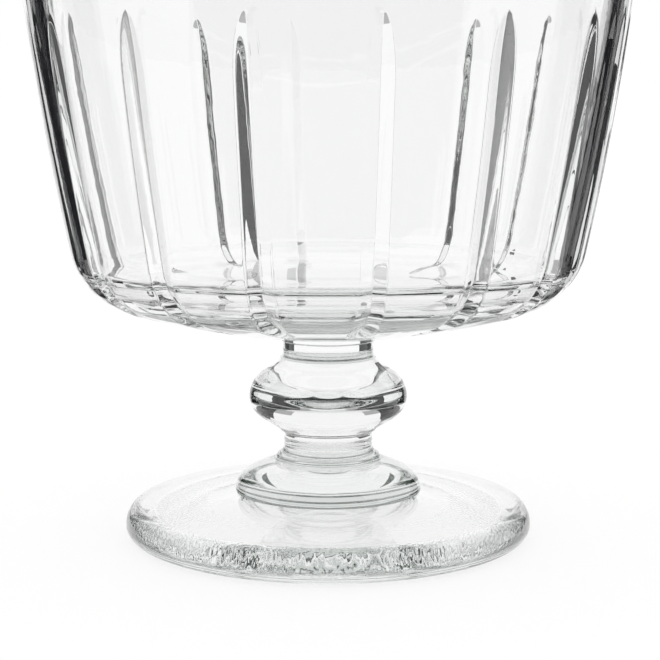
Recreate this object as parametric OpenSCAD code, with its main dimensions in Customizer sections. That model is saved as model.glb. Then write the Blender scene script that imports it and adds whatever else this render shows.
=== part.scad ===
// Footed parfait glass in clear pressed glass.
// Six turned pieces stand on one axis and meet face to face:
// foot, foot pad, lower neck, knop, upper neck and grooved bowl.
// Millimetres, +Z up, origin at the centre of the resting ring.

/* [Bowl] */
// Outer diameter of the rim
bowl_rim_d = 98.6; // [92:0.2:104]
// Height of the bowl from its seat on the stem to the rim
bowl_h = 69; // [60:1:80]
// Outer diameter where the wall turns into the rounded heel
bowl_heel_d = 82.4; // [76:0.2:86]
// Radius of the rounded heel
heel_r = 12.4; // [9:0.2:15]
// Lean of the wall from upright just above the heel, in degrees
wall_lean = 11.8; // [9:0.1:13]
// Thickness of the glass under the bowl's floor, at the centre
floor_t = 8.2; // [6:0.2:12]
// Thickness of the wall near the floor
wall_low_t = 3.8; // [3:0.1:5]
// Thickness of the wall at the rim
wall_rim_t = 2.8; // [2:0.1:3.6]
// Radius of the round between floor and wall inside the bowl
inner_r = 4; // [2:0.5:8]

/* [Grooves] */
// Number of upright grooves round the bowl
groove_count = 16; // [8:1:20]
// Width of a groove where it opens on the wall
groove_w = 3.8; // [2.4:0.1:5]
// Depth of a groove below the wall
groove_d = 1; // [0.5:0.05:1.3]
// Height of the plain band between the groove tips and the rim
plain_band_h = 18.4; // [10:0.2:25]
// Length over which a groove runs out at its pointed tip
groove_tip_h = 9.8; // [6:0.2:14]
// Turn of the ring of grooves about the glass's axis, in degrees
groove_turn = 9; // [0:0.1:22.5]

/* [Stem] */
// Height of the short neck under the bowl
upper_neck_h = 3.6; // [2.5:0.1:8]
// Diameter of the upper neck at its waist
upper_neck_d = 14.7; // [12:0.1:15]
// Height of the knop
knop_h = 11.8; // [10:0.2:16]
// Largest diameter of the knop
knop_d = 25.6; // [22:0.2:32]
// Height of the neck under the knop
lower_neck_h = 5.4; // [4:0.1:10]
// Diameter of the lower neck at its waist
lower_neck_d = 14.3; // [12:0.1:15]
// Diameter of the faces where the knop, necks and bowl join
seat_d = 15.6; // [15:0.1:18]

/* [Foot] */
// Diameter of the foot
foot_d = 66; // [60:1:76]
// Height of the foot from the table to the pad
foot_h = 7.6; // [7:0.1:10]
// Height of the foot's rounded outer edge
foot_edge_h = 5.8; // [4.6:0.1:6.4]
// Diameter of the pad that carries the stem
pad_d = 30.2; // [26:0.2:36]
// Height of the pad
pad_h = 4.6; // [3.5:0.1:8]
// Depth of the shallow hollow under the foot
foot_hollow_h = 3; // [1:0.1:3.4]
// Width of the flat ring that the glass rests on
rest_ring_w = 2.2; // [1.5:0.1:4]

/* [Hidden] */

// Roundness of turned faces and swept grooves
turn_facets = 96;
groove_facets = 32;
sweep_facets = 360;
overrun = 1;
// How far a groove's bar runs past the place where it leaves the glass, as a share of its run-out
run_out_share = 1.3;

// The pieces stack up from the table
pad_z = foot_h;
lower_neck_z = pad_z + pad_h;
knop_z = lower_neck_z + lower_neck_h;
upper_neck_z = knop_z + knop_h;
bowl_z = upper_neck_z + upper_neck_h;

seat_r = seat_d / 2;
foot_r = foot_d / 2;
pad_r = pad_d / 2;
knop_r = knop_d / 2;
rim_r = bowl_rim_d / 2;

// Foot's edge: a flat ellipse quarter below and a steeper one above
foot_edge_low_w = 3.1;
foot_edge_top_w = 2.1;
foot_edge_low_share = 0.42;
foot_widest_h = foot_edge_h * foot_edge_low_share;
rest_ring_r = foot_r - foot_edge_low_w;

// Necks and knop: heights along each piece, as shares of its height
upper_waist_shares = [0.25, 0.68];
bead_share = 0.22;
bead_w = 0.15;
knop_belly_share = 0.46;
knop_cove_shares = [0.115, 0.17, 0.8, 0.84];
knop_cove_w = 0.8;
lower_waist_shares = [0.55, 0.86];
neck_step_share = 0.13;
neck_step_w = 0.22;
neck_base_w = 0.9;
neck_base_r = seat_r + neck_base_w;

// Bowl's outside: three arcs, each tangent to the next, in a plane through the axis.
// The underside rises from the seat, the heel turns it upright, the wall leans out.
under_rise = 6.5;
heel_rise = 15.3;
heel_end_r = bowl_heel_d / 2;
heel_start_r = heel_end_r - heel_r * (cos(wall_lean) - sin(heel_rise));
under_r = (heel_start_r - seat_r) / (sin(heel_rise) - sin(under_rise));
heel_start_h = under_r * (cos(under_rise) - cos(heel_rise));
heel_end_h = heel_start_h + heel_r * (cos(heel_rise) - sin(wall_lean));
rim_lean = 2 * atan((rim_r - heel_end_r) / (bowl_h - heel_end_h)) - wall_lean;
wall_r = (bowl_h - heel_end_h) / (sin(wall_lean) - sin(rim_lean));
under_c = [seat_r - under_r * sin(under_rise), under_r * cos(under_rise)];
heel_c = [heel_end_r - heel_r * cos(wall_lean), heel_end_h + heel_r * sin(wall_lean)];
wall_c = [heel_end_r - wall_r * cos(wall_lean), heel_end_h + wall_r * sin(wall_lean)];

// Grooves: the space of a round bar that follows the wall's arc, groove_d deep in the glass.
// It bends outwards to end in a tip, and runs on below, where the heel curves away from it.
groove_r = (pow(groove_w / 2, 2) + pow(groove_d, 2)) / (2 * groove_d);
groove_out = groove_r - groove_d;
groove_shoulder_h = bowl_h - plain_band_h - groove_tip_h;
groove_shoulder = asin((groove_shoulder_h - wall_c[1]) / wall_r);
groove_tip_r = pow(groove_tip_h, 2) / (2 * groove_d) - groove_r;
groove_run_on = run_out_share * sqrt(2 * heel_r * groove_d);

// Points on an arc about centre c, from angle a0 to angle a1, in n steps
function arc(c, rx, ry, a0, a1, n) =
    [for (i = [0:n]) let (a = a0 + (a1 - a0) * i / n) [c[0] + rx * cos(a), c[1] + ry * sin(a)]];

// Points on a cubic curve from p0 to p3 with handles p1 and p2, in n steps
function curve(p0, p1, p2, p3, n) =
    [for (i = [0:n]) let (t = i / n, s = 1 - t)
        s * s * s * p0 + 3 * s * s * t * p1 + 3 * s * t * t * p2 + t * t * t * p3];

// Outer radius of the bowl's wall at height h above the seat
function wall_out(h) = wall_c[0] + wall_r * sqrt(1 - pow((h - wall_c[1]) / wall_r, 2));

// Inner radius of the bowl's wall at height h above the seat
function wall_in(h) =
    wall_out(h) - wall_low_t + (wall_low_t - wall_rim_t) * (h - floor_t) / (bowl_h - floor_t);

// Turns an outline of [radius, height] points about the axis
module turned(points) {
    rotate_extrude($fn = turn_facets)
        polygon(points);
}

// A round bar bent along an arc that lies in the plane of X and Z
module bent_bar(centre, radius, a0, a1) {
    translate([centre[0], 0, centre[1]])
        rotate([90, 0, 0])
            rotate([0, 0, a0])
                rotate_extrude(angle = a1 - a0, $fn = sweep_facets)
                    translate([radius, 0])
                        circle(r = groove_r, $fn = groove_facets);
}

// Space of one groove: its pointed tip and its length down the wall
module groove() {
    wall = wall_r + groove_out;
    tip_c = wall_c + (wall + groove_tip_r) * [cos(groove_shoulder), sin(groove_shoulder)];
    tip_turn = asin(groove_tip_h * run_out_share / groove_tip_r);
    bent_bar(tip_c, groove_tip_r, 180 + groove_shoulder - tip_turn, 180 + groove_shoulder);
    bent_bar(wall_c, wall, -wall_lean - asin(groove_run_on / wall_r), groove_shoulder);
}

// Solid outer form of the bowl, with a rounded rim
module bowl_outside() {
    lip_r = wall_rim_t / 2;
    turned(concat(
        [[0, 0]],
        arc(under_c, under_r, under_r, -90 + under_rise, -90 + heel_rise, 3),
        arc(heel_c, heel_r, heel_r, -90 + heel_rise, -wall_lean, 8),
        [for (i = [1:5]) let (h = heel_end_h + (bowl_h - lip_r - heel_end_h) * i / 5) [wall_out(h), h]],
        arc([rim_r - lip_r, bowl_h - lip_r], lip_r, lip_r, 30, 90, 3),
        [[0, bowl_h]]
    ));
}

// Space inside the bowl, open past the rim
module bowl_inside() {
    lip_r = wall_rim_t / 2;
    slope = atan2(wall_in(bowl_h) - wall_in(floor_t), bowl_h - floor_t);
    round_c = [wall_in(floor_t) - inner_r * tan((90 - slope) / 2), floor_t + inner_r];
    round_end_h = round_c[1] - inner_r * sin(slope);
    turned(concat(
        [[0, floor_t]],
        arc(round_c, inner_r, inner_r, -90, -slope, 6),
        [for (i = [1:5]) let (h = round_end_h + (bowl_h - lip_r - round_end_h) * i / 5) [wall_in(h), h]],
        arc([rim_r - lip_r, bowl_h - lip_r], lip_r, lip_r, 150, 90, 3),
        [[rim_r - lip_r, bowl_h + overrun], [0, bowl_h + overrun]]
    ));
}

module bowl() {
    color([0.86, 0.90, 0.90, 0.45])
        translate([0, 0, bowl_z])
            difference() {
                bowl_outside();
                bowl_inside();
                for (i = [0:groove_count - 1])
                    rotate([0, 0, groove_turn + i * 360 / groove_count])
                        groove();
            }
}

// Short spool between knop and bowl, with a thin bead under the bowl
module upper_neck() {
    waist_r = upper_neck_d / 2;
    waist_low = [waist_r, upper_neck_h * upper_waist_shares[0]];
    waist_top = [waist_r, upper_neck_h * upper_waist_shares[1]];
    bead_h = upper_neck_h * (1 - bead_share);
    bead_foot = [seat_r - bead_w, bead_h];
    color([0.80, 0.85, 0.86, 0.6])
        translate([0, 0, upper_neck_z])
            turned(concat(
                [[0, 0]],
                curve([seat_r, 0], [waist_r, 0], waist_low / 2 + [waist_r / 2, 0], waist_low, 5),
                curve(waist_top, [waist_r, bead_h], [waist_r, bead_h], bead_foot, 4),
                [[seat_r, bead_h + bead_w], [seat_r, upper_neck_h], [0, upper_neck_h]]
            ));
}

// Mushroom-shaped knop: concave shoulder, full belly, drawn-in underside
module knop() {
    belly_h = knop_h * knop_belly_share;
    low_cove = [seat_r + knop_cove_w, knop_h * knop_cove_shares[0]];
    low_belly = [knop_r, knop_h * knop_cove_shares[1]];
    top_belly = [knop_r, knop_h * knop_cove_shares[2]];
    top_cove = [seat_r + knop_cove_w, knop_h * knop_cove_shares[3]];
    color([0.74, 0.79, 0.80, 0.6])
        translate([0, 0, knop_z])
            turned(concat(
                [[0, 0]],
                curve([seat_r, 0], low_cove, low_belly, [knop_r, belly_h], 10),
                curve([knop_r, belly_h], top_belly, top_cove, [seat_r, knop_h], 12),
                [[0, knop_h]]
            ));
}

// Spool under the knop: two fine steps at its base, then a waist
module lower_neck() {
    waist_r = lower_neck_d / 2;
    waist_low = [waist_r, lower_neck_h * lower_waist_shares[0]];
    waist_top = [waist_r, lower_neck_h * lower_waist_shares[1]];
    step_h = lower_neck_h * neck_step_share;
    second_r = neck_base_r - 2 * neck_step_w;
    third_r = second_r - 2 * neck_step_w;
    color([0.80, 0.85, 0.86, 0.6])
        translate([0, 0, lower_neck_z])
            turned(concat(
                [[0, 0], [neck_base_r, 0], [neck_base_r, step_h]],
                [[second_r + neck_step_w, step_h + neck_step_w], [second_r, 2 * step_h]],
                curve([third_r, 2 * step_h + neck_step_w], [waist_r, 3 * step_h], waist_low, waist_low, 5),
                curve(waist_top, [waist_r, lower_neck_h], [seat_r, lower_neck_h], [seat_r, lower_neck_h], 5),
                [[0, lower_neck_h]]
            ));
}

// Low domed pad on the foot
module foot_pad() {
    color([0.84, 0.88, 0.88, 0.6])
        translate([0, 0, pad_z])
            turned(concat(
                [[0, 0]],
                arc([neck_base_r, 0], pad_r - neck_base_r, pad_h, 0, 90, 10),
                [[0, pad_h]]
            ));
}

// Round foot: shallow cone on top, thick rounded edge, hollow underside, flat resting ring
module foot() {
    edge_top = [foot_r - foot_edge_top_w, foot_widest_h];
    edge_low = [rest_ring_r, foot_widest_h];
    edge_rise = foot_edge_h - foot_widest_h;
    top_fall = atan2(foot_h - foot_edge_h, edge_top[0] - pad_r);
    edge_end = atan2(edge_rise, foot_edge_top_w * tan(top_fall));
    hollow_r = rest_ring_r - rest_ring_w;
    color([0.86, 0.90, 0.90, 0.5])
        turned(concat(
            [for (i = [0:8]) let (t = i / 8) [hollow_r * t, foot_hollow_h * (1 - t * t)]],
            arc(edge_low, foot_edge_low_w, foot_widest_h, -90, 0, 7),
            arc(edge_top, foot_edge_top_w, edge_rise, edge_end / 6, edge_end, 5),
            [[pad_r, foot_h], [0, foot_h]]
        ));
}

foot();
foot_pad();
lower_neck();
knop();
upper_neck();
bowl();
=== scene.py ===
# %% [markdown]
# A footed parfait glass in clear pressed glass. On the real object one gob of glass fills a mould,
# and creases in the surface show where foot, pad, necks, knop and bowl meet.
# It could be modelled as one turned skin, but a library part needs its pieces by name,
# so each piece is a closed mesh of its own, and the seams between them are made invisible to light.

# %% Load the frame
import math
import bpy
import numpy as np
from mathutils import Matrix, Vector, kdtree


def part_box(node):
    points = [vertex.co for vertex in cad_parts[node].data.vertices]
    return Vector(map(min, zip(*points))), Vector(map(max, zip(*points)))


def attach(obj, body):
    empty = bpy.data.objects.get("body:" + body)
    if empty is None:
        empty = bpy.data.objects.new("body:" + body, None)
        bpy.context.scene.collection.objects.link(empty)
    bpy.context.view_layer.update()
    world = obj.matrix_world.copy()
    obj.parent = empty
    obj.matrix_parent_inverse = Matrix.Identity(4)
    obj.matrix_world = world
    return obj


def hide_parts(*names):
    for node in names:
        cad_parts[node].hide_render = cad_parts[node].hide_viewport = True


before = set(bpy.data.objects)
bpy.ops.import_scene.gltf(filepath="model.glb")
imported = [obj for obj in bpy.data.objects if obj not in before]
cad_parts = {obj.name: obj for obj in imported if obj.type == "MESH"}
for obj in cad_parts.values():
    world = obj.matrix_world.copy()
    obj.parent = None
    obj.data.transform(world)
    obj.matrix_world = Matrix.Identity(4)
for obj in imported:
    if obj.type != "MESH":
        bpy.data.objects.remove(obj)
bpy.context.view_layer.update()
MM = 0.001
print("nodes in the frame:", ", ".join(sorted(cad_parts)))


# %% [markdown]
# The camera comes first, because every later choice is judged through it. The photograph was taken
# from close by with a long lens, a little above the foot and looking slightly down.
# Its distance, height and tilt were fitted to the outline of the glass, so they are plain numbers here.

# %% Camera at the photograph's angle
PICTURE_PX = 660
SENSOR_MM = 36
FOCAL_PX = 1850
TILT_DOWN = 8.1
CAMERA_BACK = 0.2966
CAMERA_UP = 0.07595
CAMERA_RIGHT = 0.0003

camera_data = bpy.data.cameras.new("photo_camera")
camera_data.sensor_width = SENSOR_MM
camera_data.lens = SENSOR_MM * FOCAL_PX / PICTURE_PX
camera_data.clip_start = 0.01
camera_data.clip_end = 30
camera = bpy.data.objects.new("photo_camera", camera_data)
bpy.context.scene.collection.objects.link(camera)
camera.location = (CAMERA_RIGHT, -CAMERA_BACK, CAMERA_UP)
camera.rotation_euler = (math.radians(90 - TILT_DOWN), 0, 0)
bpy.context.scene.camera = camera
print("lens in mm:", round(camera_data.lens, 2))


# %% [markdown]
# Clear glass has almost no colour of its own: what one sees in it is the studio, bent and mirrored.
# The classic way to light it is bright field: white behind and below, and dark cards just outside
# the picture, which the glass bends into its edges as black lines. The cards are hidden from the
# camera itself, so that the floor and backdrop stay plain from every side.

# %% Light bounces and colours
GLASS_BOUNCES = 32
MIRROR_BOUNCES = 16
MATT_BOUNCES = 4

scene = bpy.context.scene
scene.view_settings.view_transform = "Standard"
scene.view_settings.look = "None"
scene.cycles.max_bounces = GLASS_BOUNCES
scene.cycles.transmission_bounces = GLASS_BOUNCES
scene.cycles.glossy_bounces = MIRROR_BOUNCES
scene.cycles.transparent_max_bounces = GLASS_BOUNCES
scene.cycles.diffuse_bounces = MATT_BOUNCES
scene.cycles.volume_bounces = 0
print("bounces in glass:", scene.cycles.transmission_bounces)


# %% Materials that only the studio uses
def plain_material(name, colour, glow, base=(0, 0, 0)):
    """A matt surface of one base colour that also glows evenly."""
    material = bpy.data.materials.new(name)
    material.use_nodes = True
    shader = material.node_tree.nodes["Principled BSDF"]
    shader.inputs["Base Color"].default_value = (*base, 1)
    shader.inputs["Roughness"].default_value = 1
    shader.inputs["Specular IOR Level"].default_value = 0
    shader.inputs["Emission Color"].default_value = (*colour, 1)
    shader.inputs["Emission Strength"].default_value = glow
    return material


WHITE = (1, 1, 1)
BLACK = (0, 0, 0)
FELT_BLACK = (0.012, 0.012, 0.014)
PAPER_WHITE = (0.25, 0.25, 0.25)
FLOOR_GLOW = 0.78
GREY_GLOW = 0.42

floor_white = plain_material("floor_white", WHITE, FLOOR_GLOW, PAPER_WHITE)
card_black = plain_material("card_black", BLACK, 0, FELT_BLACK)
card_grey = plain_material("card_grey", WHITE, GREY_GLOW)
print("studio materials:", floor_white.name, card_black.name, card_grey.name)


# %% [markdown]
# The cards on the camera's side of the glass reach the photograph only by a reflection inside the
# glass. Seen from behind they would stand in the bowl as grey shapes. So these cards are clear to
# light that no surface has turned back yet, and black to light that was reflected at least once.

# %% Black that shows in reflections only
def reflected_only(material):
    """Make a material clear to light that no surface has reflected yet."""
    nodes, links = material.node_tree.nodes, material.node_tree.links
    path = nodes.new("ShaderNodeLightPath")
    turned_back = nodes.new("ShaderNodeMath")
    turned_back.operation = "GREATER_THAN"
    turned_back.inputs[1].default_value = 0.5
    links.new(path.outputs["Glossy Depth"], turned_back.inputs[0])
    links.new(turned_back.outputs[0], nodes["Principled BSDF"].inputs["Alpha"])
    return material


# This black serves the hood round the camera and the painted shadow round the foot.
shadow_and_card_mirrored = reflected_only(plain_material("shadow_and_card_mirrored", BLACK, 0, FELT_BLACK))
print("seen in reflections only:", shadow_and_card_mirrored.name)


# %% World light
world = bpy.data.worlds.new("white_room")
scene.world = world
world.use_nodes = True
sky = world.node_tree.nodes["Background"]
sky.inputs["Color"].default_value = (1, 1, 1, 1)
sky.inputs["Strength"].default_value = 1.0
print("world light:", world.name)


# %% Making pieces of the studio
def stage_mesh(name, points, faces, material):
    """A piece of the studio."""
    mesh = bpy.data.meshes.new(name)
    mesh.from_pydata([tuple(p) for p in points], [], faces)
    mesh.materials.append(material)
    thing = bpy.data.objects.new(name, mesh)
    scene.collection.objects.link(thing)
    return thing


def card(name, near, far, start, end, material, steps=16):
    """A curved card between two azimuths, seen only in the glass. near and far are (radius, height),
    and azimuths count from straight behind the glass, to the right as the photograph shows it."""
    turns = np.radians(90 - np.linspace(start, end, steps + 1))
    rings = [(r * math.cos(t), r * math.sin(t), z) for r, z in (near, far) for t in turns]
    count = steps + 1
    faces = [(i, i + 1, count + i + 1, count + i) for i in range(steps)]
    thing = stage_mesh(name, rings, faces, material)
    thing.visible_camera = False
    thing.visible_diffuse = False
    thing.visible_shadow = False
    return thing


# %% The white floor
FLOOR_HALF = 4.0
FLOOR_DROP = 0.00004
corner_signs = [(-1, -1), (1, -1), (1, 1), (-1, 1)]
floor_corners = [(x * FLOOR_HALF, y * FLOOR_HALF, -FLOOR_DROP) for x, y in corner_signs]
stage_mesh("floor", floor_corners, [(0, 1, 2, 3)], floor_white)


# %% [markdown]
# Two tall cards with mats on the floor before them stand behind the glass, left and right of the
# picture. They draw the black strips inside both outlines of the bowl, and softer grey ones above
# and beside them grade those strips off.

# %% Cards behind the glass, left and right
MAT_IN = 0.09
MAT_LIFT = 0.0005
CARD_R = 0.62
CARD_INNER_FOOT = 0.12
CARD_TOP = 0.27
CARD_SOFT_TOP = 0.45

mat_near = (MAT_IN, MAT_LIFT)
card_foot = (CARD_R, MAT_LIFT)
card_inner_foot = (CARD_R, CARD_INNER_FOOT)
card_top = (CARD_R, CARD_TOP)
soft_top = (CARD_R, CARD_SOFT_TOP)
card("dark_mat_left", mat_near, card_foot, -64, -31, card_black)
card("dark_mat_right", mat_near, card_foot, 36, 64, card_black)
card("dark_card_left", card_foot, card_top, -56, -30, card_black)
card("dark_card_right", card_foot, card_top, 32, 56, card_black)
card("dark_soft_left", card_top, soft_top, -60, -26, card_grey)
card("dark_soft_right", card_top, soft_top, 26, 60, card_grey)
card("dark_inner_left", card_inner_foot, card_top, -30, -19, card_grey)
card("dark_inner_right", card_inner_foot, card_top, 19, 32, card_grey)


# %% [markdown]
# Knop, foot and bowl also mirror what stands round the camera. A black sheet in front of the foot and a
# black ring beside it are painted shadow: they stand for the shadow of the glass on the floor. With a
# hood round the camera they give knop, foot and bowl their dark bands. All of these use the black that
# shows in reflections only.

# %% Painted shadow round the foot and the hood round the camera
FRONT_SHADOW_IN = 0.05
FRONT_SHADOW_OUT = 0.115
SIDE_SHADOW_IN = 0.055
SIDE_SHADOW_OUT = 0.1
HOOD_R = 0.66
HOOD_TOP_R = 0.33
HOOD_LOW = 0.13
HOOD_MID = 0.34
HOOD_TOP = 1.3
HOOD_STEPS = 40

front_shadow_near, front_shadow_far = (FRONT_SHADOW_IN, MAT_LIFT), (FRONT_SHADOW_OUT, MAT_LIFT)
side_shadow_near, side_shadow_far = (SIDE_SHADOW_IN, MAT_LIFT), (SIDE_SHADOW_OUT, MAT_LIFT)
hood_foot, hood_low = (HOOD_R, MAT_LIFT), (HOOD_R, HOOD_LOW)
hood_mid, hood_top = (HOOD_R, HOOD_MID), (HOOD_TOP_R, HOOD_TOP)
# Painted shadow: the sheet in front of the foot and the two rings beside it are black laid on the floor
# where the glass casts its shadow, seen only in reflections.
card("painted_shadow_front", front_shadow_near, front_shadow_far, 125, 235, shadow_and_card_mirrored)
card("painted_shadow_left", side_shadow_near, side_shadow_far, -125, -72, shadow_and_card_mirrored)
card("painted_shadow_right", side_shadow_near, side_shadow_far, 72, 125, shadow_and_card_mirrored)
card("dark_hood_low", hood_foot, hood_low, 118, 242, shadow_and_card_mirrored, HOOD_STEPS)
card("dark_hood", hood_low, hood_mid, 140, 220, shadow_and_card_mirrored)
card("dark_hood_side_left", hood_low, hood_mid, -140, -115, shadow_and_card_mirrored)
card("dark_hood_side_right", hood_low, hood_mid, 115, 140, shadow_and_card_mirrored)
card("dark_hood_top", hood_mid, hood_top, 130, 230, shadow_and_card_mirrored)


# %% [markdown]
# Every piece of the glass is turned about one axis, so each is an outline of radius and height
# that is spun into a mesh. A screw modifier would spin it too, but plain arrays of points also let
# the grooves and the stippled ring be pressed into the surface, point by point.

# %% Outline helpers
SAME_POINT = 1e-4
HAIR = 1e-6


def arc(centre, across, up, start, end, steps):
    """Points on an ellipse arc about centre, from one angle in degrees to another."""
    turn = np.radians(np.linspace(start, end, steps + 1))
    return np.column_stack([centre[0] + across * np.cos(turn), centre[1] + up * np.sin(turn)])


def curve(first, handle_a, handle_b, last, steps):
    """Points on a cubic curve with two handles."""
    t = np.linspace(0, 1, steps + 1)[:, None]
    s = 1 - t
    a, b, c, d = (np.array(p, float) for p in (first, handle_a, handle_b, last))
    return s ** 3 * a + 3 * s * s * t * b + 3 * s * t * t * c + t ** 3 * d


def line(first, last, steps=1):
    """Points on a straight line."""
    t = np.linspace(0, 1, steps + 1)[:, None]
    return (1 - t) * np.array(first, float) + t * np.array(last, float)


def joined(*runs):
    """One outline from several runs of points, without doubled points."""
    points = [tuple(p) for run in runs for p in np.atleast_2d(run)]
    kept = points[:1]
    for p in points[1:]:
        if math.dist(p, kept[-1]) > SAME_POINT:
            kept.append(p)
    return np.array(kept)


# %% Round the sharp corners of an outline
ROUND_STEPS = 5
SHARP_TURN = 18
ROUND_SHARE = 0.45


def eased(points, reach):
    """Round an outline where it turns sharply: the line within reach of a corner becomes a curve."""
    run = np.diff(points, axis=0)
    heading = np.degrees(np.unwrap(np.arctan2(run[:, 1], run[:, 0])))
    along = np.concatenate([[0], np.cumsum(np.hypot(run[:, 0], run[:, 1]))])
    corners = [i + 1 for i in range(len(heading) - 1) if abs(heading[i + 1] - heading[i]) > SHARP_TURN]

    def at(s):
        return np.array([np.interp(s, along, points[:, 0]), np.interp(s, along, points[:, 1])])

    out = []
    last = 0.0
    for n, i in enumerate(corners):
        before = along[corners[n - 1]] if n else 0.0
        after = along[corners[n + 1]] if n + 1 < len(corners) else along[-1]
        r = min(reach, ROUND_SHARE * (along[i] - before), ROUND_SHARE * (after - along[i]))
        out += [p for p, s in zip(points, along) if last <= s < along[i] - r - HAIR]
        a, b = at(along[i] - r), at(along[i] + r)
        for t in np.linspace(0, 1, ROUND_STEPS + 1):
            out.append((1 - t) ** 2 * a + 2 * t * (1 - t) * points[i] + t * t * b)
        last = along[i] + r + HAIR
    out += [p for p, s in zip(points, along) if s >= last]
    return joined(np.array(out))


print("corners that turn more than", SHARP_TURN, "degrees get a small round")


# %% [markdown]
# Two pieces that are fused share a seam, and light must cross it as if it weren't there. So each
# piece is closed by a disc of its own, in a clear material, with its middle a hair inside the piece.

# %% Spin an outline into a closed mesh
SEAM_GAP = 0.01


def ring_points(outline, turns):
    """Grid of points: one row for each outline point, one column for each turn."""
    radius = outline[:, 0][:, None]
    height = np.repeat(outline[:, 1][:, None], len(turns), axis=1)
    return np.dstack([radius * np.cos(turns), radius * np.sin(turns), height])


def closed_piece(name, grid, caps):
    """Mesh from rows of points that go round the axis. A row on the axis becomes one point.
    caps holds (row, shift): a disc that closes that row, with its middle shifted a hair inwards."""
    rows, columns = grid.shape[:2]
    points = []
    index = np.zeros((rows, columns), int)
    for i in range(rows):
        if np.hypot(grid[i, 0, 0], grid[i, 0, 1]) < HAIR:
            index[i, :] = len(points)
            points.append(grid[i, 0])
        else:
            index[i, :] = len(points) + np.arange(columns)
            points.extend(grid[i])
    faces = []
    for i in range(rows - 1):
        low, high = index[i], index[i + 1]
        for j in range(columns):
            k = (j + 1) % columns
            ring = [low[j], low[k], high[k], high[j]]
            face = [v for n, v in enumerate(ring) if v != ring[n - 1]]
            faces.append([int(v) for v in face])
    skin_faces = len(faces)
    for row, shift in caps:
        start = len(points)
        points.extend(grid[row])
        middle = grid[row].mean(axis=0) + np.array([0, 0, shift])
        points.append(middle)
        for j in range(columns):
            pair = (start + j, start + (j + 1) % columns)
            if shift > 0:
                pair = pair[::-1]
            faces.append([*pair, start + columns])
    mesh = bpy.data.meshes.new(name)
    mesh.from_pydata([tuple(np.array(p) * MM) for p in points], [], faces)
    mesh.validate()
    mesh.shade_smooth()
    cap = np.zeros(len(mesh.polygons), np.int32)
    cap[skin_faces:] = 1
    mesh.polygons.foreach_set("material_index", cap)
    piece = bpy.data.objects.new(name, mesh)
    scene.collection.objects.link(piece)
    print(name, "faces:", len(mesh.polygons))
    return piece


# %% [markdown]
# Pressed glass is clear but never perfectly even: its skin keeps soft ripples from the cooling mould.
# A thick piece also takes a faint grey-green from the iron in it, the deeper the longer light travels.
# A flat tint can't do that, so the colour is an absorbing volume, and the ripples are a node group
# that each glass material uses with its own scale and strength.

# %% Node groups: ripples and cords
def new_group(name, inputs, outputs):
    """An empty shader group with named sockets."""
    group = bpy.data.node_groups.new(name, "ShaderNodeTree")
    for label, kind, value in inputs:
        socket = group.interface.new_socket(label, in_out="INPUT", socket_type=kind)
        socket.default_value = value
    for label, kind in outputs:
        group.interface.new_socket(label, in_out="OUTPUT", socket_type=kind)
    return group, group.nodes.new("NodeGroupInput"), group.nodes.new("NodeGroupOutput")


def pressed_ripple_group():
    """Height of the soft ripples that the mould leaves, broad ones and fine ones."""
    group, given, made = new_group(
        "pressed_ripple",
        [
            ("Broad Scale", "NodeSocketFloat", 90),
            ("Fine Scale", "NodeSocketFloat", 420),
            ("Fine Share", "NodeSocketFloat", 0.2),
        ],
        [("Height", "NodeSocketFloat")],
    )
    place = group.nodes.new("ShaderNodeTexCoord")
    broad = group.nodes.new("ShaderNodeTexNoise")
    fine = group.nodes.new("ShaderNodeTexNoise")
    share = group.nodes.new("ShaderNodeMath")
    total = group.nodes.new("ShaderNodeMath")
    share.operation = "MULTIPLY"
    total.operation = "ADD"
    for tex, label in ((broad, "Broad Scale"), (fine, "Fine Scale")):
        tex.inputs["Detail"].default_value = 1
        group.links.new(place.outputs["Object"], tex.inputs["Vector"])
        group.links.new(given.outputs[label], tex.inputs["Scale"])
    group.links.new(fine.outputs["Fac"], share.inputs[0])
    group.links.new(given.outputs["Fine Share"], share.inputs[1])
    group.links.new(broad.outputs["Fac"], total.inputs[0])
    group.links.new(share.outputs[0], total.inputs[1])
    group.links.new(total.outputs[0], made.inputs["Height"])
    return group


def glass_cord_group():
    """Faint streaks in the clearness of the glass, from its two unevenly mixed tones."""
    group, given, made = new_group(
        "glass_cords",
        [
            ("Clear Tone", "NodeSocketColor", (1, 1, 1, 1)),
            ("Dull Tone", "NodeSocketColor", (0.97, 0.98, 0.98, 1)),
            ("Scale", "NodeSocketFloat", 60),
        ],
        [("Tone", "NodeSocketColor")],
    )
    place = group.nodes.new("ShaderNodeTexCoord")
    stretch = group.nodes.new("ShaderNodeMapping")
    streak = group.nodes.new("ShaderNodeTexNoise")
    mix = group.nodes.new("ShaderNodeMix")
    mix.data_type = "RGBA"
    stretch.inputs["Scale"].default_value = (1, 1, 0.3)
    streak.inputs["Detail"].default_value = 2
    streak.inputs["Distortion"].default_value = 1.5
    group.links.new(place.outputs["Object"], stretch.inputs["Vector"])
    group.links.new(stretch.outputs["Vector"], streak.inputs["Vector"])
    group.links.new(given.outputs["Scale"], streak.inputs["Scale"])
    group.links.new(streak.outputs["Fac"], mix.inputs["Factor"])
    group.links.new(given.outputs["Clear Tone"], mix.inputs["A"])
    group.links.new(given.outputs["Dull Tone"], mix.inputs["B"])
    group.links.new(mix.outputs["Result"], made.inputs["Tone"])
    return group


pressed_ripple = pressed_ripple_group()
glass_cords = glass_cord_group()
print("groups:", pressed_ripple.name, glass_cords.name)


# %% Glass materials
GLASS_IOR = 1.52
IRON_TINT = (0.66, 0.71, 0.68)
IRON_DENSITY = 4
DULLER_BY = (0.025, 0.02, 0.022)


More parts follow.
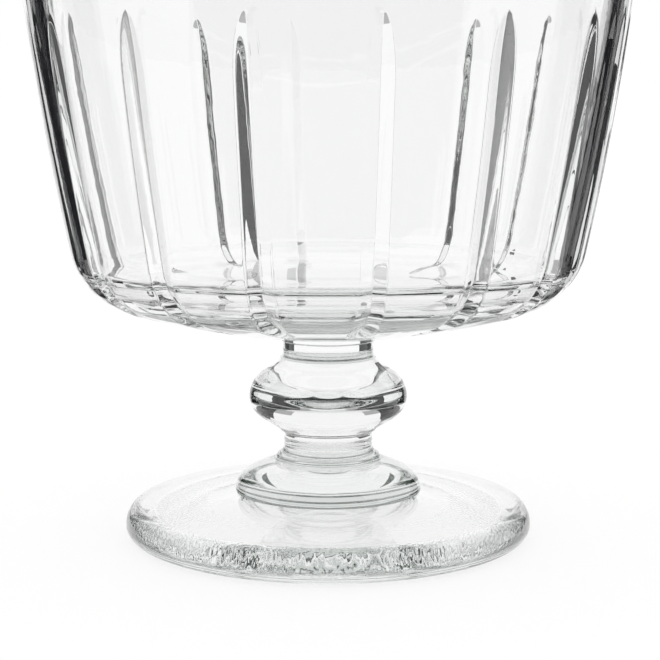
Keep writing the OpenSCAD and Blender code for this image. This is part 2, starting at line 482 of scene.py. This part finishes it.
def glass_material(name, tone, ripple_depth, broad, fine, fine_share):
    """Clear glass: sharp refraction, rippled skin, and a grey-green that deepens with thickness."""
    material = bpy.data.materials.new(name)
    material.use_nodes = True
    tree = material.node_tree
    shader = tree.nodes["Principled BSDF"]
    shader.inputs["Transmission Weight"].default_value = 1
    shader.inputs["Metallic"].default_value = 0
    shader.inputs["Roughness"].default_value = 0
    shader.inputs["IOR"].default_value = GLASS_IOR
    ripple = tree.nodes.new("ShaderNodeGroup")
    ripple.node_tree = pressed_ripple
    ripple.inputs["Broad Scale"].default_value = broad
    ripple.inputs["Fine Scale"].default_value = fine
    ripple.inputs["Fine Share"].default_value = fine_share
    bump = tree.nodes.new("ShaderNodeBump")
    bump.inputs["Strength"].default_value = 1
    bump.inputs["Distance"].default_value = ripple_depth * MM
    cords = tree.nodes.new("ShaderNodeGroup")
    cords.node_tree = glass_cords
    cords.inputs["Clear Tone"].default_value = (tone, tone, tone, 1)
    cords.inputs["Dull Tone"].default_value = (*(tone - drop for drop in DULLER_BY), 1)
    tree.links.new(ripple.outputs["Height"], bump.inputs["Height"])
    tree.links.new(bump.outputs["Normal"], shader.inputs["Normal"])
    tree.links.new(cords.outputs["Tone"], shader.inputs["Base Color"])
    absorb = tree.nodes.new("ShaderNodeVolumeAbsorption")
    absorb.inputs["Color"].default_value = (*IRON_TINT, 1)
    absorb.inputs["Density"].default_value = IRON_DENSITY
    tree.links.new(absorb.outputs["Volume"], tree.nodes["Material Output"].inputs["Volume"])
    return material


def seam_material():
    """The disc where two pieces are fused: light passes straight on, and only the tint goes on."""
    material = bpy.data.materials.new("fused_seam")
    material.use_nodes = True
    tree = material.node_tree
    tree.nodes.remove(tree.nodes["Principled BSDF"])
    clear = tree.nodes.new("ShaderNodeBsdfTransparent")
    absorb = tree.nodes.new("ShaderNodeVolumeAbsorption")
    absorb.inputs["Color"].default_value = (*IRON_TINT, 1)
    absorb.inputs["Density"].default_value = IRON_DENSITY
    tree.links.new(clear.outputs["BSDF"], tree.nodes["Material Output"].inputs["Surface"])
    tree.links.new(absorb.outputs["Volume"], tree.nodes["Material Output"].inputs["Volume"])
    return material


FINE_SHARE = 0.2
bowl_glass = glass_material("clear_glass_bowl", 0.985, 0.02, 90, 420, FINE_SHARE)
stem_glass = glass_material("clear_glass_stem", 0.98, 0.015, 140, 500, FINE_SHARE)
foot_glass = glass_material("foot_glass", 1.0, 0.02, 110, 460, FINE_SHARE)
fused_seam = seam_material()
print("glass materials:", bowl_glass.name, stem_glass.name, foot_glass.name, fused_seam.name)


def dress(piece, material, node):
    """Give a piece its glass and its place in the frame, and hide the CAD node it stands for."""
    piece.data.materials.append(material)
    piece.data.materials.append(fused_seam)
    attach(piece, "root")
    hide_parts(node)


# %% [markdown]
# The heights of the pieces are those of the CAD model, read from the boxes of its nodes,
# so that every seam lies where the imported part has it. All other sizes are in millimetres too.

# %% Seams and sizes
FOOT_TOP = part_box("foot")[1][2] / MM
PAD_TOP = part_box("foot_pad")[1][2] / MM
LOWER_NECK_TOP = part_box("lower_neck")[1][2] / MM
KNOP_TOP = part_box("knop")[1][2] / MM
UPPER_NECK_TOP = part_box("upper_neck")[1][2] / MM
RIM_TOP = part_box("bowl")[1][2] / MM
SEAT_R = 7.8
NECK_BASE_R = 8.7
PAD_R = 15.1
seam_heights = (FOOT_TOP, PAD_TOP, LOWER_NECK_TOP, KNOP_TOP, UPPER_NECK_TOP, RIM_TOP)
print("seams in mm:", [round(h, 2) for h in seam_heights])


# %% [markdown]
# The foot is a wide shallow cone with a thick rounded edge and a shallow hollow beneath.
# A ring of fine pressed stipple runs round the hollow. From above it hardly shows, but the rounded
# edge looks at it like a lens, and there it sparkles grey. A bump in the material could only shade
# it, so the little hills are pressed into the mesh, and light scatters on them as it does in glass.

# %% Foot
FOOT_R = 33.0
FOOT_EDGE_TOP = 5.8
EDGE_LOW_W = 3.1
EDGE_TOP_W = 2.8
WIDEST_SHARE = 0.42
WIDEST_H = FOOT_EDGE_TOP * WIDEST_SHARE
REST_RING_W = 2.2
REST_RING_R = FOOT_R - EDGE_LOW_W
HOLLOW_R = REST_RING_R - REST_RING_W
HOLLOW_H = 3.0
FOOT_COLUMNS = 1024

edge_rise = FOOT_EDGE_TOP - WIDEST_H
top_fall = math.degrees(math.atan2(FOOT_TOP - FOOT_EDGE_TOP, FOOT_R - EDGE_TOP_W - PAD_R))
edge_end = math.degrees(math.atan2(edge_rise, EDGE_TOP_W * math.tan(math.radians(top_fall))))
foot_edge = arc((FOOT_R - EDGE_TOP_W, WIDEST_H), EDGE_TOP_W, edge_rise, edge_end, 0, 20)
foot_top = line((PAD_R, FOOT_TOP), foot_edge[0], 12)
foot_low = arc((REST_RING_R, WIDEST_H), EDGE_LOW_W, WIDEST_H, 0, -90, 26)
foot_rest = line((REST_RING_R, 0), (HOLLOW_R, 0), 12)
STIPPLED_ROWS = np.linspace(1, 0.7, 70)
PLAIN_ROWS = np.linspace(0.69, 0, 12)
hollow_share = np.concatenate([STIPPLED_ROWS, PLAIN_ROWS])
foot_hollow = np.column_stack([HOLLOW_R * hollow_share, HOLLOW_H * (1 - hollow_share ** 2)])
foot_line = joined(foot_top, foot_edge, foot_low, foot_rest, foot_hollow)
print("points in the foot's outline:", len(foot_line))


# %% The stippled ring under the foot
STIPPLE_IN = 19.5
STIPPLE_OUT = 27.2
STIPPLE_PITCH = 0.45
STIPPLE_DEPTH = 0.02
STIPPLE_FADE = 0.4
STIPPLE_SEED = 7
HILL_RING_SHARE = 0.87
HILL_STRAY = 0.2
HILL_REACH_SHARE = 0.55


def stipple_hills():
    """Where the stipple's little hills stand: rings of them, each a little out of place."""
    rng = np.random.default_rng(STIPPLE_SEED)
    hills = []
    for r in np.arange(STIPPLE_IN, STIPPLE_OUT, STIPPLE_PITCH * HILL_RING_SHARE):
        count = int(2 * math.pi * r / STIPPLE_PITCH)
        start = rng.uniform(0, 2 * math.pi)
        for n in range(count):
            turn = start + 2 * math.pi * n / count
            shift = rng.uniform(-HILL_STRAY, HILL_STRAY, 2)
            out = r + shift[0]
            x = out * math.cos(turn) + shift[1] * math.sin(turn)
            y = out * math.sin(turn) - shift[1] * math.cos(turn)
            hills.append((x, y))
    tree = kdtree.KDTree(len(hills))
    for n, (x, y) in enumerate(hills):
        tree.insert((x, y, 0), n)
    tree.balance()
    print("stipple hills:", len(hills))
    return tree


def press_stipple(grid):
    """Press the valleys between the hills up into the underside; the hills keep their height."""
    tree = stipple_hills()
    under = grid[:, :, 2] < WIDEST_H
    radius = np.hypot(grid[:, :, 0], grid[:, :, 1])
    band = under & (radius > STIPPLE_IN - STIPPLE_FADE) & (radius < STIPPLE_OUT + STIPPLE_FADE)
    for i, j in zip(*np.nonzero(band)):
        x, y, _ = grid[i, j]
        gap = tree.find((x, y, 0))[2] / (STIPPLE_PITCH * HILL_REACH_SHARE)
        from_inside = (radius[i, j] - STIPPLE_IN + STIPPLE_FADE) / STIPPLE_FADE
        from_outside = (STIPPLE_OUT + STIPPLE_FADE - radius[i, j]) / STIPPLE_FADE
        strength = max(0, min(1, from_inside, from_outside))
        grid[i, j, 2] += STIPPLE_DEPTH * strength * min(1, gap * gap)


# %% Spin the foot
foot_turns = np.linspace(0, 2 * math.pi, FOOT_COLUMNS, endpoint=False)
foot_grid = ring_points(foot_line, foot_turns)
press_stipple(foot_grid)
foot = closed_piece("glass_foot", foot_grid[::-1], [(len(foot_line) - 1, -SEAM_GAP)])
dress(foot, foot_glass, "foot")


# %% [markdown]
# Pad, necks and knop are small turned pieces. Their outlines repeat the CAD curves with many more
# points, and every sharp corner gets a small round, as fire polishing leaves it.

# %% Pad and lower neck
STEM_COLUMNS = 384
stem_turns = np.linspace(0, 2 * math.pi, STEM_COLUMNS, endpoint=False)
CORNER_ROUND = 0.18


def stem_piece(name, outline, node):
    """Spin one piece of the stem from its upward outline, and close it at both seams."""
    grid = ring_points(outline, stem_turns)
    piece = closed_piece(name, grid, [(0, SEAM_GAP), (len(outline) - 1, -SEAM_GAP)])
    dress(piece, stem_glass, node)
    return piece


pad_line = arc((NECK_BASE_R, FOOT_TOP), PAD_R - NECK_BASE_R, PAD_TOP - FOOT_TOP, 0, 90, 40)
stem_piece("glass_pad", pad_line, "foot_pad")

LOWER_WAIST_R = 7.15
LOWER_WAIST_SHARES = (0.55, 0.86)
STEP_SHARE = 0.13
STEP_W = 0.22
neck_h = LOWER_NECK_TOP - PAD_TOP
step_h = neck_h * STEP_SHARE
second_r = NECK_BASE_R - 2 * STEP_W
third_r = second_r - 2 * STEP_W
waist_low = (LOWER_WAIST_R, neck_h * LOWER_WAIST_SHARES[0])
waist_top = (LOWER_WAIST_R, neck_h * LOWER_WAIST_SHARES[1])
lower_line = joined(
    line((NECK_BASE_R, 0), (NECK_BASE_R, step_h), 4),
    line((second_r + STEP_W, step_h + STEP_W), (second_r, 2 * step_h), 3),
    curve((third_r, 2 * step_h + STEP_W), (LOWER_WAIST_R, 3 * step_h), waist_low, waist_low, 16),
    line(waist_low, waist_top, 6),
    curve(waist_top, (LOWER_WAIST_R, neck_h), (SEAT_R, neck_h), (SEAT_R, neck_h), 12),
) + (0, PAD_TOP)
stem_piece("glass_lower_neck", eased(lower_line, CORNER_ROUND), "lower_neck")


# %% Knop and upper neck
KNOP_R = 12.8
BELLY_SHARE = 0.46
COVE_W = 0.8
COVE_SHARES = (0.115, 0.17, 0.8, 0.84)
knop_h = KNOP_TOP - LOWER_NECK_TOP
belly = (KNOP_R, knop_h * BELLY_SHARE)
low_cove = (SEAT_R + COVE_W, knop_h * COVE_SHARES[0])
low_belly = (KNOP_R, knop_h * COVE_SHARES[1])
top_belly = (KNOP_R, knop_h * COVE_SHARES[2])
top_cove = (SEAT_R + COVE_W, knop_h * COVE_SHARES[3])
knop_line = joined(
    curve((SEAT_R, 0), low_cove, low_belly, belly, 44),
    curve(belly, top_belly, top_cove, (SEAT_R, knop_h), 56),
) + (0, LOWER_NECK_TOP)
stem_piece("glass_knop", knop_line, "knop")

UPPER_WAIST_R = 7.35
UPPER_WAIST_SHARES = (0.25, 0.68)
BEAD_SHARE = 0.78
BEAD_W = 0.15
neck_h = UPPER_NECK_TOP - KNOP_TOP
bead_h = neck_h * BEAD_SHARE
waist_low = (UPPER_WAIST_R, neck_h * UPPER_WAIST_SHARES[0])
waist_top = (UPPER_WAIST_R, neck_h * UPPER_WAIST_SHARES[1])
upper_line = joined(
    curve((SEAT_R, 0), (UPPER_WAIST_R, 0), (UPPER_WAIST_R, waist_low[1] / 2), waist_low, 14),
    line(waist_low, waist_top, 6),
    curve(waist_top, (UPPER_WAIST_R, bead_h), (UPPER_WAIST_R, bead_h), (SEAT_R - BEAD_W, bead_h), 10),
    line((SEAT_R, bead_h + BEAD_W), (SEAT_R, neck_h), 3),
) + (0, KNOP_TOP)
stem_piece("glass_upper_neck", eased(upper_line, CORNER_ROUND), "upper_neck")


# %% [markdown]
# Sixteen upright grooves are pressed into the bowl. Each has two flat sides that meet in a sharp
# valley, thins to a point below the plain band at the top, and fades out under the heel. They could
# be cut by sixteen booleans, but a clean skin bends light better. So the turned mesh itself sinks
# into each groove, and its columns crowd along the valley and the two shoulders.

# %% Bowl outline
BOWL_Z = UPPER_NECK_TOP
BOWL_H = RIM_TOP - BOWL_Z
HEEL_END_R = 41.2
HEEL_R = 12.4
WALL_LEAN = 11.8
FLOOR_T = 8.2
WALL_LOW_T = 3.8
WALL_RIM_T = 2.8
INNER_R = 4.0
LIP_R = WALL_RIM_T / 2
RIM_R = 49.3
UNDER_RISE = 6.5
HEEL_RISE = 15.3


def sin(a):
    return math.sin(math.radians(a))


def cos(a):
    return math.cos(math.radians(a))


heel_start_r = HEEL_END_R - HEEL_R * (cos(WALL_LEAN) - sin(HEEL_RISE))
under_r = (heel_start_r - SEAT_R) / (sin(HEEL_RISE) - sin(UNDER_RISE))
heel_start_h = under_r * (cos(UNDER_RISE) - cos(HEEL_RISE))
heel_end_h = heel_start_h + HEEL_R * (cos(HEEL_RISE) - sin(WALL_LEAN))
rim_lean = 2 * math.degrees(math.atan((RIM_R - HEEL_END_R) / (BOWL_H - heel_end_h))) - WALL_LEAN
wall_r = (BOWL_H - heel_end_h) / (sin(WALL_LEAN) - sin(rim_lean))
under_c = (SEAT_R - under_r * sin(UNDER_RISE), under_r * cos(UNDER_RISE))
heel_c = (HEEL_END_R - HEEL_R * cos(WALL_LEAN), heel_end_h + HEEL_R * sin(WALL_LEAN))
wall_c = (HEEL_END_R - wall_r * cos(WALL_LEAN), heel_end_h + wall_r * sin(WALL_LEAN))


def wall_out(h):
    """Outer radius of the wall at a height above the bowl's seat."""
    return wall_c[0] + wall_r * np.sqrt(1 - ((h - wall_c[1]) / wall_r) ** 2)


def wall_in(h):
    """Inner radius of the wall at a height above the bowl's seat."""
    return wall_out(h) - WALL_LOW_T + (WALL_LOW_T - WALL_RIM_T) * (h - FLOOR_T) / (BOWL_H - FLOOR_T)


print("underside and heel start in mm:", round(under_r, 2), round(heel_start_r, 2))
print("lean of the wall at the rim in degrees:", round(rim_lean, 3))


# %% Rows up the outside of the bowl
GROOVE_COUNT = 16
GROOVE_TURN = 9.0
GROOVE_W = 3.8
GROOVE_D = 1.0
TIP_RUN = 9.8
TIP_H = 50.6
TOE_RUN = 8.0
UNDER_SPACING = 0.5
HEEL_SPACING = 0.35
WALL_SPACING = 0.8
TIP_SPACING = 0.3
BAND_SPACING = 1.0
groove_slope = GROOVE_D / (GROOVE_W / 2)
shoulder_h = TIP_H - TIP_RUN
shoulder = math.degrees(math.asin((shoulder_h - wall_c[1]) / wall_r))


def stretch(centre, radius, start, end, spacing):
    """Rows along an arc of the outside: radius, height and outward angle."""
    steps = max(1, int(round(abs(math.radians(end - start)) * radius / spacing)))
    angle = np.linspace(start, end, steps + 1)
    points = arc(centre, radius, radius, start, end, steps)
    return np.column_stack([points, angle])


PAST_TIP = 2.5
tip_end = shoulder + math.degrees((TIP_RUN + PAST_TIP) / wall_r)
lip_start = math.degrees(math.asin((BOWL_H - LIP_R - wall_c[1]) / wall_r))
under_rows = stretch(under_c, under_r, -90 + UNDER_RISE, -90 + HEEL_RISE, UNDER_SPACING)
heel_rows = stretch(heel_c, HEEL_R, -90 + HEEL_RISE, -WALL_LEAN, HEEL_SPACING)[1:]
wall_rows = np.vstack([
    stretch(wall_c, wall_r, -WALL_LEAN, shoulder, WALL_SPACING)[1:],
    stretch(wall_c, wall_r, shoulder, tip_end, TIP_SPACING)[1:],
    stretch(wall_c, wall_r, tip_end, lip_start, BAND_SPACING)[1:],
])
outside = np.vstack([under_rows, heel_rows, wall_rows])
print("outside rows:", len(outside))


# %% How deep each groove is, row by row
PAST_RUN = 0.2
PAST_DROP = 0.2
along = np.concatenate([[0], np.cumsum(np.hypot(np.diff(outside[:, 0]), np.diff(outside[:, 1])))])
heel_start_at = along[len(under_rows) - 1]
shoulder_at = np.interp(shoulder_h, outside[len(under_rows):, 1], along[len(under_rows):])
past_toe = np.maximum(0, heel_start_at - along) / TOE_RUN
past_tip = np.maximum(0, along - shoulder_at) / TIP_RUN


def fade(past):
    """Share of the full depth along a run-out. Past its end the share drops a little below nothing,
    so that the softened groove dies away without a step."""
    return np.sqrt(np.clip(1 - past ** 2, 0, 1)) - PAST_DROP * np.clip((past - 1) / PAST_RUN, 0, 1)


depth = GROOVE_D * np.minimum(fade(past_toe), fade(past_tip))
print("groove slope in degrees:", round(math.degrees(math.atan(groove_slope)), 1))


# %% Rim, inside wall and floor
FIRST_INSIDE_DROP = 0.5
slope = math.degrees(math.atan2(wall_in(BOWL_H) - wall_in(FLOOR_T), BOWL_H - FLOOR_T))
round_c = (wall_in(FLOOR_T) - INNER_R * math.tan(math.radians((90 - slope) / 2)), FLOOR_T + INNER_R)
round_end_h = round_c[1] - INNER_R * sin(slope)
lip_c = (wall_out(BOWL_H - LIP_R) - LIP_R, BOWL_H - LIP_R)
lip_rows = arc(lip_c, LIP_R, LIP_R, lip_start, 180 - slope, 20)[1:]
inner_h = np.linspace(BOWL_H - LIP_R - FIRST_INSIDE_DROP, round_end_h, 44)
inside_wall = np.column_stack([wall_in(inner_h), inner_h])
inside_round = arc(round_c, INNER_R, INNER_R, -slope, -90, 20)
inside_floor = line((round_c[0], FLOOR_T), (0, FLOOR_T), 14)
inside = joined(lip_rows, inside_wall, inside_round, inside_floor)
print("inside rows:", len(inside), "lip centre:", [round(float(v), 3) for v in lip_c])


# %% Columns that follow the grooves
ACROSS = (0, 0.04, 0.08, 0.13, 0.2, 0.3, 0.42, 0.54, 0.66, 0.76, 0.84, 0.91, 0.96, 1)
SHOULDER_STEPS = (0.12, 0.26, 0.42, 0.62, 0.9)
PANEL_STEPS = 12
GROOVE_ROOM_SHARE = 0.8
NARROWEST_HALF = 0.15
SOFT_VALLEY = 0.08
SOFT_SHOULDER = 0.08
period = 2 * math.pi / GROOVE_COUNT


def column_offsets(half_width, radius):
    """Sideways places in mm across one groove and its panel, from one valley to the next."""
    half = [half_width * share for share in ACROSS]
    half += [half_width + e for e in SHOULDER_STEPS]
    room = period * radius / 2
    fit = min(1.0, GROOVE_ROOM_SHARE * room / half[-1])
    half = [fit * h for h in half]
    panel = np.linspace(half[-1], 2 * room - half[-1], PANEL_STEPS + 1)[1:-1]
    return np.concatenate([half, panel, [2 * room - h for h in half[:0:-1]]])


def groove_depth(sideways, deepest):
    """Depth of the groove below the wall at a sideways distance from its valley."""
    rise = groove_slope * (np.sqrt(sideways ** 2 + SOFT_VALLEY ** 2) - SOFT_VALLEY)
    cut = deepest - rise
    return (cut + np.sqrt(cut ** 2 + SOFT_SHOULDER ** 2)) / 2


print("columns round the bowl:", GROOVE_COUNT * len(column_offsets(GROOVE_W / 2, HEEL_END_R)))


# %% Press the grooves and close the bowl
UNGROOVED = -0.15 * GROOVE_D


def bowl_grid():
    """All rows of the bowl: the grooved outside from the seat up, then the rim, then the inside."""
    rows = []
    for (radius, height, angle), deepest in zip(outside, depth):
        half_width = max(NARROWEST_HALF, deepest / groove_slope)
        offsets = column_offsets(half_width, radius)
        sideways = np.minimum(offsets, period * radius - offsets)
        sink = groove_depth(sideways, deepest) - groove_depth(np.array([period * radius / 2]), deepest)
        if deepest <= UNGROOVED:
            sink = 0 * sink
        first = math.radians(GROOVE_TURN) + offsets / radius
        around = np.concatenate([first + n * period for n in range(GROOVE_COUNT)])
        drop = np.tile(sink, GROOVE_COUNT)
        r = radius - drop * cos(angle)
        rows.append(np.column_stack([r * np.cos(around), r * np.sin(around), height - drop * sin(angle)]))
    for radius, height in inside:
        if radius < HAIR:
            rows.append(np.tile([0, 0, height], (len(around), 1)))
            continue
        level = np.full(len(around), height)
        rows.append(np.column_stack([radius * np.cos(around), radius * np.sin(around), level]))
    grid = np.array(rows)
    grid[:, :, 2] += BOWL_Z
    return grid


grid = bowl_grid()
bowl = closed_piece("glass_bowl", grid, [(0, SEAM_GAP)])
dress(bowl, bowl_glass, "bowl")
